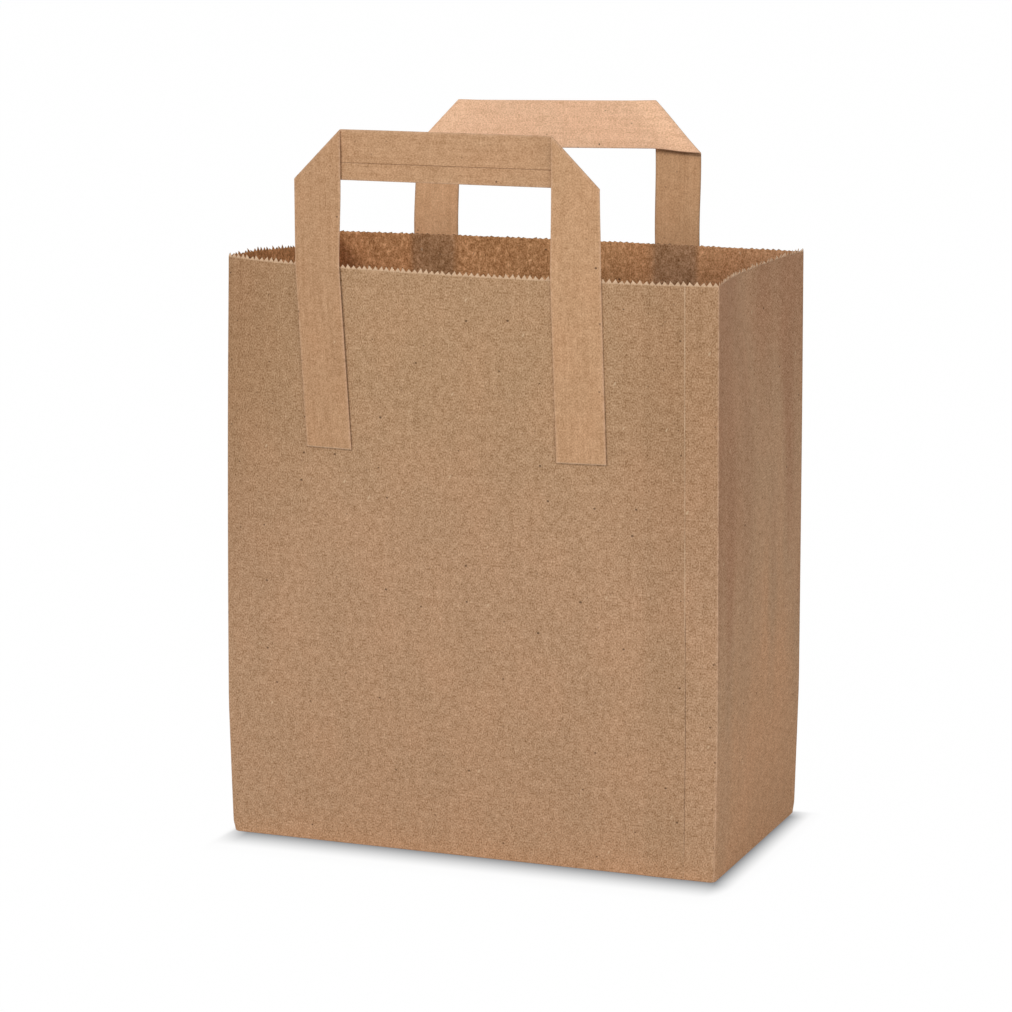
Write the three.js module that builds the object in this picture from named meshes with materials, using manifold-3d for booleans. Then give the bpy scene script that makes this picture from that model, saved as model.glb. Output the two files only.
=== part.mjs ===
// A take-away carrier of brown kraft paper: one sheet folded and glued into a tube with side
// gussets and a square base, and two flat tape handles glued outside the mouth.
// Millimetres, +Z up. The origin is on the surface that the bag stands on, at the centre of the
// base. The front panel faces -Y.

import * as THREE from "three";
import { mergeVertices } from "three/addons/utils/BufferGeometryUtils.js";
import Module from "manifold-3d";

const wasm = await Module();
wasm.setup();

// Driving dimensions of the bag
const bagWidth = 218; // front and back panels, fold to fold
const bagDepth = 115; // side gussets, fold to fold
const bagHeight = 246; // up to the tips of the pinked edge
const paperThickness = 0.2;
const baseInset = 1.2; // how far each side of the folded base lies inside the tube above it
const baseFoldRadius = 1.2;
const flapOverlap = 24; // the outer base flap over the inner one
const flapLineWidth = 0.6; // of the lines that the flaps' edges press into the base
const toothPitch = 2.5;
const toothDepth = 1.7;
const pinkedBandHeight = 4; // from the tooth tips down to the plain wall
const seamInset = 13.5; // free edge of the glued seam, from the front right fold
const seamOverlap = 18; // width of the double paper at the seam
const seamRamp = 3; // over which the outer ply climbs onto the inner one
const seamStep = 0.05; // width of the step at the free edge
const seamClearance = 2; // least distance from the seam's lines to the panel's other columns
const frontBow = 14.5; // how far the front panel bellies out at the mouth
const backBow = 5;
const gussetTuck = 7.5; // how far the middle crease of a gusset turns in at the mouth
const gussetCreaseLength = 100; // of that crease, from the mouth down

// Driving dimensions of the handles
const handleWidth = 132; // over the outsides of both legs
const tapeWidth = 20.5;
const tapeThickness = 0.7;
const glueLength = 73; // leg below the mouth
const glueGap = 0.3; // between the tape and the paper behind it
const foldBond = 0.1; // how deep the leg and the bar share their fold
const frontRise = 56; // top of the front handle's bar above the mouth
const backRise = 59;
const frontShift = -4; // of the front handle from the middle of the bag, along X
const backShift = -5.4;
const frontSlant = 2.4; // how far right of the mouth's end of a front leg its foot is glued
const backSlant = 0;
const frontBarReach = 10.5; // bar of the front handle, out from the front folds
const backBarReach = 6;

// Proportions of the curved walls
const frontFullness = 2.3; // 2 is a parabola, and more is fuller towards the folds
const frontSkew = 0.85; // under 1 puts the belly left of the middle
const backFullness = 2;
const bowTaper = 0.8; // power of the height that the belly grows with: 1 is straight
const arcAllowance = 8 / 3; // bow squared times this, over the width, is what a bowed panel draws in

// Panels run anticlockwise as seen from above: front, right gusset, back, left gusset
const frontColumns = 14;
const backColumns = 8;
const gussetColumns = 6; // an even count, so that one lies on the middle crease
const baseRows = 3; // between the base and the crease above it
const wallRows = 9; // between that crease and the pinked band
const legColumns = 3;
const barColumns = 10;
const barRows = 2;
const tapeRowHeight = 10;

// Dependent dimensions
const baseCrease = bagDepth / 2; // height of the crease left by the flat-folded base
const baseThickness = 3 * paperThickness;
const wallTop = bagHeight - pinkedBandHeight;
const tuckFoot = bagHeight - gussetCreaseLength;
const baseHalfWidth = bagWidth / 2 - baseInset;
const baseHalfDepth = bagDepth / 2 - baseInset;
const legFoot = bagHeight - glueLength;
const seamEdge = 1 - seamInset / bagWidth;
const seamStart = seamEdge - seamOverlap / bagWidth;

const kraftBrown = new THREE.MeshStandardMaterial({ color: "#b08c6d", roughness: 0.85, metalness: 0 });
const tapeBrown = new THREE.MeshStandardMaterial({ color: "#c69e78", roughness: 0.8, metalness: 0 });

const mix = THREE.MathUtils.lerp;

// The four walls

function bowAt(fullBow, z) {
  return fullBow * (z / bagHeight) ** bowTaper;
}

function halfChord(bow) {
  return (bagWidth - (arcAllowance * bow * bow) / bagWidth) / 2;
}

function drawIn(z) {
  return baseInset * Math.max(0, 1 - z / baseCrease);
}

function tuckAt(z) {
  return gussetTuck * THREE.MathUtils.smoothstep(z, tuckFoot, bagHeight);
}

function bulge(across, fullness, skew) {
  return 1 - Math.abs(2 * across ** skew - 1) ** fullness;
}

function halfDepth(z) {
  return Math.sqrt((bagDepth / 2) ** 2 - tuckAt(z) ** 2) - drawIn(z);
}

function frontHalfWidth(z) {
  return halfChord(bowAt(frontBow, z)) - drawIn(z);
}

function backHalfWidth(z) {
  return halfChord(bowAt(backBow, z)) - drawIn(z);
}

function frontReach(across, z) {
  return halfDepth(z) + bowAt(frontBow, z) * bulge(across, frontFullness, frontSkew);
}

function backReach(across, z) {
  return halfDepth(z) + bowAt(backBow, z) * bulge(across, backFullness, 1);
}

function gussetX(across, z, from, to) {
  return mix(from, to, across) - tuckAt(z) * (1 - Math.abs(2 * across - 1));
}

const panels = [
  {
    length: bagWidth,
    at: (u, z) => [mix(-1, 1, u) * frontHalfWidth(z), -frontReach(u, z)],
  },
  {
    length: bagDepth,
    at: (u, z) => [gussetX(u, z, frontHalfWidth(z), backHalfWidth(z)), mix(-1, 1, u) * halfDepth(z)],
  },
  {
    length: bagWidth,
    at: (u, z) => [mix(1, -1, u) * backHalfWidth(z), backReach(u, z)],
  },
  {
    length: bagDepth,
    at: (u, z) => [-gussetX(u, z, backHalfWidth(z), frontHalfWidth(z)), mix(1, -1, u) * halfDepth(z)],
  },
];

// A place round the walls is the panel's number plus the share of the way across it
function wallPoint(place, z) {
  const panel = Math.min(Math.floor(place), panels.length - 1);
  return panels[panel].at(place - panel, z);
}

function evenPlaces(panel, count) {
  return Array.from({ length: count }, (_, i) => panel + i / count);
}

function wallPlaces() {
  const seam = [seamStart, seamStart + seamRamp / bagWidth, seamEdge, seamEdge + seamStep / bagWidth];
  const isClear = (place) => seam.every((line) => Math.abs(place - line) > seamClearance / bagWidth);
  const even = evenPlaces(0, frontColumns).filter(isClear);
  const front = [...even, ...seam].sort((a, b) => a - b);
  return [
    ...front,
    ...evenPlaces(1, gussetColumns),
    ...evenPlaces(2, backColumns),
    ...evenPlaces(3, gussetColumns),
  ];
}

// The outer ply lies on the inner one from the seam's start to its free edge
function extraPly(place) {
  const rise = (place - seamStart) / (seamRamp / bagWidth);
  return place > seamEdge + seamStep / bagWidth / 2 ? 0 : paperThickness * THREE.MathUtils.clamp(rise, 0, 1);
}

function levelRing(places, z) {
  return places.map((place) => ({ place, z, xy: wallPoint(place, z) }));
}

// Pinked edge: a valley on each fold and a whole number of teeth between two folds
function pinkedRing() {
  const ring = [];
  panels.forEach((panel, number) => {
    const teeth = Math.max(1, Math.round(panel.length / toothPitch));
    for (let i = 0; i < 2 * teeth; i++) {
      const place = number + i / (2 * teeth);
      const z = i % 2 ? bagHeight : bagHeight - toothDepth;
      ring.push({ place, z, xy: wallPoint(place, bagHeight) });
    }
  });
  return ring;
}

// Moves each point of a closed ring outwards, square to the walls that meet there
function offsetRing(ring, distanceAt) {
  return ring.map((point, i) => {
    const before = ring[(i + ring.length - 1) % ring.length].xy;
    const after = ring[(i + 1) % ring.length].xy;
    const normals = [
      [point.xy, before],
      [after, point.xy],
    ].map(([to, from]) => new THREE.Vector2(to[1] - from[1], from[0] - to[0]).normalize());
    const [a, b] = normals;
    const miter = a.clone().add(b).divideScalar(1 + a.dot(b));
    const distance = distanceAt(point.place);
    return { ...point, xy: [point.xy[0] + miter.x * distance, point.xy[1] + miter.y * distance] };
  });
}

// A mesh under construction, made of rings of points
class Shell {
  positions = [];
  faces = [];

  add(ring) {
    const start = this.positions.length / 3;
    ring.forEach(({ xy, z }) => this.positions.push(xy[0], xy[1], z));
    return ring.map((point, i) => ({ place: point.place, id: start + i }));
  }

  // Joins a lower ring to an upper one, always stepping on the ring that lags behind
  join(lower, upper, outward) {
    let i = 0;
    let j = 0;
    while (i < lower.length || j < upper.length) {
      const nextLower = i < lower.length ? (lower[i + 1]?.place ?? panels.length) : Infinity;
      const nextUpper = j < upper.length ? (upper[j + 1]?.place ?? panels.length) : Infinity;
      const a = lower[i % lower.length].id;
      const b = upper[j % upper.length].id;
      let c;
      if (nextLower <= nextUpper) {
        i += 1;
        c = lower[i % lower.length].id;
      } else {
        j += 1;
        c = upper[j % upper.length].id;
      }
      this.faces.push(...(outward ? [a, c, b] : [a, b, c]));
    }
  }

  cap(ring, up) {
    const outline = ring.map(({ id }) => new THREE.Vector2(this.positions[3 * id], this.positions[3 * id + 1]));
    THREE.ShapeUtils.triangulateShape(outline, []).forEach(([a, b, c]) => {
      const face = [ring[a].id, ring[b].id, ring[c].id];
      this.faces.push(...(up ? face : face.reverse()));
    });
  }

  geometry() {
    const made = new THREE.BufferGeometry();
    made.setAttribute("position", new THREE.Float32BufferAttribute(this.positions, 3));
    made.setIndex(this.faces);
    return made;
  }
}

function wallHeights(start) {
  const heights = [start];
  for (let i = 1; i <= baseRows; i++) heights.push(mix(baseFoldRadius, baseCrease, i / baseRows));
  for (let i = 1; i <= wallRows; i++) heights.push(mix(baseCrease, wallTop, i / wallRows));
  return heights;
}

function bodyShell() {
  const shell = new Shell();
  const places = wallPlaces();
  const pinked = pinkedRing();
  const outerSkin = (ring) => shell.add(offsetRing(ring, extraPly));
  const innerSkin = (ring) => shell.add(offsetRing(ring, () => -paperThickness));
  const foldInset = (place) => extraPly(place) - baseFoldRadius;

  const foot = levelRing(places, 0);
  const outer = [shell.add(offsetRing(foot, foldInset))];
  wallHeights(baseFoldRadius).forEach((z) => outer.push(outerSkin(levelRing(places, z))));
  outer.push(outerSkin(pinked));

  const inner = wallHeights(baseThickness).map((z) => innerSkin(levelRing(places, z)));
  inner.push(innerSkin(pinked));

  for (let i = 1; i < outer.length; i++) shell.join(outer[i - 1], outer[i], true);
  for (let i = 1; i < inner.length; i++) shell.join(inner[i - 1], inner[i], false);
  shell.join(outer.at(-1), inner.at(-1), true);
  shell.cap(outer[0], false);
  shell.cap(inner[0], true);
  return shell.geometry();
}

// Joins and cuts

function solid(geometry) {
  const bare = geometry.clone();
  bare.deleteAttribute("normal");
  bare.deleteAttribute("uv");
  const merged = mergeVertices(bare, 1e-3);
  return new wasm.Manifold(
    new wasm.Mesh({
      numProp: 3,
      vertProperties: merged.getAttribute("position").array,
      triVerts: new Uint32Array(merged.index.array),
    }),
  );
}

function geometryOf(made) {
  const { vertProperties, triVerts } = made.getMesh();
  const geometry = new THREE.BufferGeometry();
  geometry.setAttribute("position", new THREE.BufferAttribute(vertProperties, 3));
  geometry.setIndex(new THREE.BufferAttribute(triVerts, 1));
  geometry.computeVertexNormals();
  return geometry;
}

// The folded base, seen from below: the front flap lies over the back one, and both have sides
// that run at 45 degrees from the corners. Their edges are pressed one ply deep into the base.
function pressedLine(from, to) {
  const start = new THREE.Vector2(...from);
  const end = new THREE.Vector2(...to);
  const along = end.clone().sub(start).normalize();
  const side = new THREE.Vector2(-along.y, along.x).multiplyScalar(flapLineWidth / 2);
  start.addScaledVector(along, flapLineWidth);
  const corners = [start.clone().sub(side), end.clone().sub(side), end.clone().add(side), start.clone().add(side)];
  const depth = paperThickness + flapLineWidth;
  const cutter = new THREE.ExtrudeGeometry(new THREE.Shape(corners), { depth, bevelEnabled: false });
  cutter.translate(0, 0, -flapLineWidth);
  return solid(cutter);
}

function flapLines() {
  const w = baseHalfWidth - baseFoldRadius;
  const d = baseHalfDepth - baseFoldRadius;
  const flap = Math.min(d + flapOverlap / 2, 2 * d);
  const reach = flapLineWidth / 2;
  return [
    pressedLine([flap - w - reach, flap - d], [w - flap + reach, flap - d]),
    pressedLine([w, -d], [w - flap, flap - d]),
    pressedLine([-w, -d], [flap - w, flap - d]),
    pressedLine([w, d], [w - d, 0]),
    pressedLine([-w, d], [d - w, 0]),
  ];
}

function bodyGeometry() {
  let body = solid(bodyShell());
  for (const cut of flapLines()) body = body.subtract(cut);
  return geometryOf(body);
}

// The handles: a flat tape goes up one leg, turns at a 45 degree fold behind itself, runs along
// the bar and turns down the other leg. Across is to the right for someone facing that panel.

function tapeGeometry(columns, rows, corner) {
  const shell = new Shell();
  const sheet = [0, 1].map((layer) => {
    const ids = [];
    for (let j = 0; j <= rows; j++) {
      const line = Array.from({ length: columns + 1 }, (_, i) => corner(i / columns, j / rows, layer));
      ids.push(shell.add(line.map(([x, y, z]) => ({ xy: [x, y], z }))).map(({ id }) => id));
    }
    return ids;
  });
  const quad = (a, b, c, d) => shell.faces.push(a, b, c, a, c, d);
  const [near, far] = sheet;
  for (let j = 0; j < rows; j++) {
    for (let i = 0; i < columns; i++) {
      quad(near[j][i], near[j][i + 1], near[j + 1][i + 1], near[j + 1][i]);
      quad(far[j][i], far[j + 1][i], far[j + 1][i + 1], far[j][i + 1]);
    }
    quad(near[j][0], near[j + 1][0], far[j + 1][0], far[j][0]);
    quad(near[j][columns], far[j][columns], far[j + 1][columns], near[j + 1][columns]);
  }
  for (let i = 0; i < columns; i++) {
    quad(near[0][i], far[0][i], far[0][i + 1], near[0][i + 1]);
    quad(near[rows][i], near[rows][i + 1], far[rows][i + 1], far[rows][i]);
  }
  return shell.geometry();
}

// facing is -1 for the front and 1 for the back, and reachAt gives how far the wall stands out at
// a point across and up the panel
function handleGeometry({ facing, rise, shift, slant, barReach, reachAt }) {
  const barTop = bagHeight + rise;
  const barFoot = barTop - tapeWidth;
  const place = (across, z, depth) => {
    const slide = slant * THREE.MathUtils.clamp((bagHeight - z) / glueLength, 0, 1);
    const x = shift + slide - facing * across;
    const wall = reachAt(-facing * x, Math.min(z, bagHeight));
    const lean = THREE.MathUtils.smoothstep(z, bagHeight, barFoot);
    const reach = mix(wall, bagDepth / 2 + barReach, lean) + depth;
    return [x, facing * reach, z];
  };
  const outside = handleWidth / 2;
  const inside = outside - tapeWidth;
  const legTop = (across) => barFoot + (outside - Math.abs(across));
  const straightRows = Math.ceil((barFoot - legFoot) / tapeRowHeight);
  const legRows = straightRows + 1;

  const leg = (side) => (u, v, layer) => {
    const across = side * mix(outside, inside, side > 0 ? 1 - u : u);
    const row = Math.round(v * legRows);
    const z = row > straightRows ? legTop(across) : mix(legFoot, barFoot, row / straightRows);
    return place(across, z, glueGap + (layer ? 0 : tapeThickness));
  };
  const bar = (u, v, layer) => {
    const end = mix(outside, inside, v);
    return place(mix(-end, end, u), mix(barFoot, barTop, v), glueGap + (layer ? -tapeThickness : foldBond));
  };

  const legs = [-1, 1].map((side) => solid(tapeGeometry(legColumns, legRows, leg(side))));
  const made = solid(tapeGeometry(barColumns, barRows, bar)).add(legs[0]).add(legs[1]);
  return geometryOf(made);
}

// Turns a distance across a panel into the share of the way across it
function acrossShare(across, halfWidth) {
  return THREE.MathUtils.clamp((across / halfWidth + 1) / 2, 0, 1);
}

const frontHandle = handleGeometry({
  facing: -1,
  rise: frontRise,
  shift: frontShift,
  slant: frontSlant,
  barReach: frontBarReach,
  reachAt: (across, z) => frontReach(acrossShare(across, frontHalfWidth(z)), z),
});
const backHandle = handleGeometry({
  facing: 1,
  rise: backRise,
  shift: backShift,
  slant: backSlant,
  barReach: backBarReach,
  reachAt: (across, z) => backReach(acrossShare(across, backHalfWidth(z)), z),
});

function named(name, geometry, material) {
  const mesh = new THREE.Mesh(geometry, material);
  mesh.name = name;
  return mesh;
}

const group = new THREE.Group();
group.add(named("bag_body", bodyGeometry(), kraftBrown));
group.add(named("front_handle", frontHandle, tapeBrown));
group.add(named("back_handle", backHandle, tapeBrown.clone()));

export default group;
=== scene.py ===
"""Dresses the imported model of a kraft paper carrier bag: the folded sheet with its pinked mouth, seam, gussets and
base, the two flat tape handles, their paper, and a pale studio with the camera."""

import math
import random

import bpy
import numpy as np
from mathutils import Matrix, Vector, noise
from mathutils.geometry import delaunay_2d_cdt


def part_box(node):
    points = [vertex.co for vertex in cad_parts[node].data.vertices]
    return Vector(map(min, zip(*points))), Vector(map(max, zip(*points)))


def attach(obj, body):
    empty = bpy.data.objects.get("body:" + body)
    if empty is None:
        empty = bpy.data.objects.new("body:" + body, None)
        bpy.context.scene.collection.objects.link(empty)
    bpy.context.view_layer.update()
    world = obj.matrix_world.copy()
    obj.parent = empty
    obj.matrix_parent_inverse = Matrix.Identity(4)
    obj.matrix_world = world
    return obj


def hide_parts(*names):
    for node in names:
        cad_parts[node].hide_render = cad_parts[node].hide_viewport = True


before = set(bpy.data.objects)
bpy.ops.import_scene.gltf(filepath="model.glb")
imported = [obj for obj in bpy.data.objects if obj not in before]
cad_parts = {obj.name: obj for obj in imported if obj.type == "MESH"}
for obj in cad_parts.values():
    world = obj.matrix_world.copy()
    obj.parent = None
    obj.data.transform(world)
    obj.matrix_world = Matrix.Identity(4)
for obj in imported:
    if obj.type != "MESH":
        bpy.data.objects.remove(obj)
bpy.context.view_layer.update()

MM = 0.001

# The folded sheet, in millimetres
body_low, body_high = (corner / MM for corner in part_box("bag_body"))
WIDTH = round(body_high.x - body_low.x)
HEIGHT = round(body_high.z)
DEPTH = 115
PAPER = 0.2
BASE_INSET = 1.2
BASE_THICKNESS = 3 * PAPER
FOLD_RADIUS = 0.7
BASE_FOLD_RADIUS = 0.7
BASE_CORNER_RADIUS = 3.2
BASE_CORNER_HEIGHT = 5.5
FLAP_OVERLAP = 24
TOOTH_PITCH = 2.5
TOOTH_DEPTH = 1.7
SEAM_INSET = 13.5
SEAM_OVERLAP = 18
SEAM_STEP = 0.05
SEAM_RAMP = 3
FRONT_BOW = 14.5
BACK_BOW = 5.0
BOW_TAPER = 0.8
FRONT_FULLNESS = 2.3
FRONT_SKEW = 0.85
ARC_ALLOWANCE = 8 / 3
GUSSET_TUCK = 7.5
GUSSET_CREASE_LENGTH = 100
BASE_CREASE = DEPTH / 2
CREASE_DEPTH = 0.05
CREASE_WIDTH = 1.2
BELLY = 1.2
BELLY_HEIGHT = 130
BELLY_SPREAD = 62
ROW_HEIGHT = 3.0
BASE_ROWS = (1.3, 2.0, 2.8, 4.7)
BESIDE_FOLD = (0.3, 0.6, 1.0, 1.6, 2.3, 3.0)
TOOTH_SHOULDER = 0.27

# The sag of the free paper: depth, size across and seed of each wave
SAGS = ((0.5, 62, 3), (0.1, 24, 8))

# How wide the pale mark of a fold is, and how strong and wide the mark of a gusset's middle crease is. These pale
# marks are partly rubbed wear and partly painted highlight.
FOLD_MARK_WIDTH = 0.4
GUSSET_MARK = 0.08
GUSSET_MARK_WIDTH = 1.2

# How the mouth has been pulled out of square, at the folds from the front left one round to the back left one
RIM_LIFTS = (2.9, -0.2, 0.4, 0.4)
RIM_SHIFTS = (2.4, 0.0, -0.3, 1.0)
RIM_LIFT_FADE = 3
RIM_SHIFT_FADE = 1.6
RIM_DIP = 1.5
RIM_DIP_NARROWNESS = 1.6

# The handles, in millimetres. They are a little narrower across the legs than the row's, and their feet are lower.
# top is the height of the bar's upper edge, shift its place right of the middle, and bar_reach how far it stands out.
# slants are how far right of its place at the slant's top each leg is glued at its foot, and tilt is how far the bar
# rises from one end of the handle to the other. droop is how far its right end sags, and loose is how far the bar
# stands off the legs that it is folded over. The rest are marks from 0 to 1: seam_line for the painted shade line of
# the tape's own fold, edges for the pale line, partly rubbed and partly painted highlight, and for the painted shadow
# line along a leg's edges, and fold_gap for the painted shadow under the folded bar. One more key holds painted shade
# to painted light, from -1 to 1, for the left leg, the bar and the right leg.
tape_low, tape_high = (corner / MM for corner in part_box("back_handle"))
HANDLE_NARROWER = 0.4
FOOT_LOWER = 1.5
HANDLE_WIDTH = round(tape_high.x - tape_low.x, 1) - HANDLE_NARROWER
LEG_FOOT = tape_low.z - FOOT_LOWER
TAPE_WIDTH = 20.5
TAPE_THICKNESS = 0.7
TAPE_PLY_STEP = 0.13
GLUE_GAP = 0.28
FRONT_TAPE = {
    "facing": -1,
    "top": 302.2,
    "shift": -3.8,
    "bar_reach": 10.5,
    "slants": (3.4, 1.7),
    "slant_top": 246.0,
    "tilt": 0.0,
    "droop": 0.0,
    "loose": 0.3,
    "seam_line": 0.7,
    "tones": (-1.0, 0.0, 1.0),
    "edges": (1.0, 0.0),
    "fold_gap": 0.0,
}
BACK_TAPE = {
    "facing": 1,
    "top": 305.0,
    "shift": -5.9,
    "bar_reach": 7.2,
    "slants": (2.2, 3.0),
    "slant_top": 284.5,
    "tilt": 3.0,
    "droop": 1.9,
    "loose": 2.4,
    "seam_line": 0.0,
    "tones": (0.0, 1.0, -1.0),
    "edges": (0.25, 0.5),
    "fold_gap": 1.0,
}

# The camera, fitted to the corners and folds in the photograph
FOCAL_LENGTH = 127.8
SENSOR = 36.0
AZIMUTH = 21.18
ELEVATION = 11.13
ROLL = -0.13
DISTANCE = 1522
AIM_HEIGHT = 138.5
AIM_SIDE = -4.14


def smooth(low, high, x):
    t = np.clip((x - low) / (high - low), 0, 1)
    return t * t * (3 - 2 * t)


def wave(x, y, z, size, seed=0):
    """Smooth noise of about unit height, with features of that size."""
    return noise.noise(Vector((x / size + seed, y / size - seed, z / size)))


# The folded sheet

def bow_at(full, z):
    return full * (max(z, 0) / HEIGHT) ** BOW_TAPER


def half_chord(bow):
    return (WIDTH - ARC_ALLOWANCE * bow * bow / WIDTH) / 2


def draw_in(z):
    return BASE_INSET * max(0, 1 - z / BASE_CREASE)


def tuck_at(z):
    return GUSSET_TUCK * float(smooth(HEIGHT - GUSSET_CREASE_LENGTH, HEIGHT, z))


def bulge(across, fullness, skew):
    return 1 - abs(2 * across**skew - 1) ** fullness


def half_depth(z):
    return math.sqrt((DEPTH / 2) ** 2 - tuck_at(z) ** 2) - draw_in(z)


def front_half_width(z):
    return half_chord(bow_at(FRONT_BOW, z)) - draw_in(z)


def back_half_width(z):
    return half_chord(bow_at(BACK_BOW, z)) - draw_in(z)


def front_reach(across, z):
    return half_depth(z) + bow_at(FRONT_BOW, z) * bulge(across, FRONT_FULLNESS, FRONT_SKEW)


def back_reach(across, z):
    return half_depth(z) + bow_at(BACK_BOW, z) * bulge(across, 2, 1)


def gusset_x(across, z, start, end):
    """The middle crease of a gusset is soft, so the tuck is rounded there."""
    softness = 0.1
    turn = math.sqrt((2 * across - 1) ** 2 + softness**2)
    flat = math.sqrt(1 + softness**2)
    return start + (end - start) * across - tuck_at(z) * (flat - turn)


def flat_wall(panel, u, z):
    """The wall's place before folds are rounded and the paper is let sag."""
    if panel == 0:
        return (2 * u - 1) * front_half_width(z), -front_reach(u, z)
    if panel == 1:
        return gusset_x(u, z, front_half_width(z), back_half_width(z)), (2 * u - 1) * half_depth(z)
    if panel == 2:
        return (1 - 2 * u) * back_half_width(z), back_reach(u, z)
    return -gusset_x(u, z, back_half_width(z), front_half_width(z)), (1 - 2 * u) * half_depth(z)


PANEL_LENGTHS = (WIDTH, DEPTH, WIDTH, DEPTH)
PANEL_STARTS = np.concatenate([[0], np.cumsum(PANEL_LENGTHS)])
GIRTH = PANEL_STARTS[-1]
SEAM_EDGE = WIDTH - SEAM_INSET
SEAM_START = SEAM_EDGE - SEAM_OVERLAP


def on_panel(s):
    """The panel that a distance round the bag falls on, and the share of the way across it."""
    s = s % GIRTH
    panel = min(int(np.searchsorted(PANEL_STARTS, s, side="right")) - 1, 3)
    return panel, (s - PANEL_STARTS[panel]) / PANEL_LENGTHS[panel]


def fold_radius(z):
    """The folds are crisp, and loosen at the corners of the base."""
    return FOLD_RADIUS + (BASE_CORNER_RADIUS - FOLD_RADIUS) * float(1 - smooth(0, BASE_CORNER_HEIGHT, z))


def around_mouth(values, s):
    """Blends values given at the four folds, from the front left one on, round the bag."""
    panel, u = on_panel(s)
    return values[panel] * (1 - u) + values[(panel + 1) % 4] * u


def rim_lift(s, z):
    """The mouth isn't level: it rises to the front left fold and dips at the gussets' creases."""
    panel, u = on_panel(s)
    lift = around_mouth(RIM_LIFTS, s)
    if panel in (1, 3):
        lift -= RIM_DIP * max(0, 1 - abs(2 * u - 1) * RIM_DIP_NARROWNESS)
    return lift * (max(z, 0) / HEIGHT) ** RIM_LIFT_FADE


def wall_xy(s, z):
    x, y = folded_wall(s, z)
    return np.array([x + around_mouth(RIM_SHIFTS, s) * (max(z, 0) / HEIGHT) ** RIM_SHIFT_FADE, y])


def folded_wall(s, z):
    radius = fold_radius(z)
    corner = PANEL_STARTS[np.argmin(abs(PANEL_STARTS - (s % GIRTH)))]
    offset = (s % GIRTH) - corner
    if abs(offset) >= radius:
        return np.array(flat_wall(*on_panel(s), z))
    before = np.array(flat_wall(*on_panel(corner - radius), z))
    tip = np.array(flat_wall(*on_panel(corner), z))
    after = np.array(flat_wall(*on_panel(corner + radius), z))
    t = (offset + radius) / (2 * radius)
    return (1 - t) ** 2 * before + 2 * t * (1 - t) * tip + t * t * after


def relief(s, z):
    """How far the paper stands out from the flat wall: its sag, its creases and the extra ply of the seam."""
    panel, u = on_panel(s)
    free = 4 * u * (1 - u)
    out = sum(depth * free * wave(s, z, panel * 40, size, seed) for depth, size, seed in SAGS)
    out -= CREASE_DEPTH * math.exp(-(((z - BASE_CREASE) / CREASE_WIDTH) ** 2))
    if panel in (1, 3):
        from_slant = (z - abs(u - 0.5) * DEPTH) / CREASE_WIDTH
        out -= CREASE_DEPTH * math.exp(-(from_slant**2)) * (z < BASE_CREASE)
        out += BELLY * free * math.exp(-(((z - BELLY_HEIGHT) / BELLY_SPREAD) ** 2))
    return out


def extra_ply(s):
    if s > SEAM_EDGE + SEAM_STEP / 2 or s < SEAM_START:
        return 0.0
    return PAPER * min(1.0, (s - SEAM_START) / SEAM_RAMP)


def columns():
    """Distances round the bag, one for each valley of the pinked edge."""
    found = []
    for panel, length in enumerate(PANEL_LENGTHS):
        teeth = round(length / TOOTH_PITCH)
        found += [PANEL_STARTS[panel] + length * i / teeth for i in range(teeth)]
    return np.array(found)


def extra_columns():
    """More of them beside the folds and along the seam."""
    folds = [(start + side * d) % GIRTH for start in PANEL_STARTS[:-1] for side in (-1, 1) for d in BESIDE_FOLD]
    seam = [SEAM_EDGE + d for d in (-0.4, -0.2, 0, SEAM_STEP, 0.25, 0.45)]
    return np.array(folds + [SEAM_START, SEAM_START + SEAM_RAMP] + seam)


class Sheet:
    """A mesh under construction, with a paper coordinate on each face corner and shading marks on each point."""

    def __init__(self):
        self.points = []
        self.faces = []
        self.paper = []
        self.marks = {name: [] for name in ("edge", "fold", "gap", "ply", "painted_leg_shadow", "tone", "inner", "olive_and_painted_shade")}

    def point(self, xyz, **marks):
        self.points.append(tuple(float(c) for c in xyz))
        for name, values in self.marks.items():
            values.append(float(marks.get(name, 0.0)))
        return len(self.points) - 1

    def face(self, ids, paper):
        self.faces.append(list(ids))
        self.paper.append([tuple(p) for p in paper])

    def build(self, name, material):
        mesh = bpy.data.meshes.new(name)
        mesh.from_pydata([tuple(c * MM for c in p) for p in self.points], [], self.faces)
        mesh.update()
        for label, values in self.marks.items():
            layer = mesh.attributes.new(label, "FLOAT", "POINT")
            layer.data.foreach_set("value", np.array(values, np.float32))
        layer = mesh.attributes.new("paper", "FLOAT_VECTOR", "CORNER")
        flat = np.array([c for face in self.paper for p in face for c in p], np.float32) * MM
        layer.data.foreach_set("vector", flat)
        mesh.polygons.foreach_set("use_smooth", [True] * len(mesh.polygons))
        mesh.materials.append(material)
        thing = bpy.data.objects.new(name, mesh)
        bpy.context.scene.collection.objects.link(thing)
        return thing


def near_fold(s, z):
    """The pale line along a crease of the sheet, partly rubbed wear and partly painted highlight: 1 on the crease,
    falling off within a millimetre.
    """
    panel, u = on_panel(s)
    corner = min(abs(PANEL_STARTS - (s % GIRTH)))
    mark = math.exp(-((corner / FOLD_MARK_WIDTH) ** 2))
    if panel in (1, 3):
        middle = abs(u - 0.5) * DEPTH
        crease = GUSSET_MARK * math.exp(-((middle / GUSSET_MARK_WIDTH) ** 2))
        mark = max(mark, crease * float(smooth(40, 150, z)))
    return mark


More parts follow.
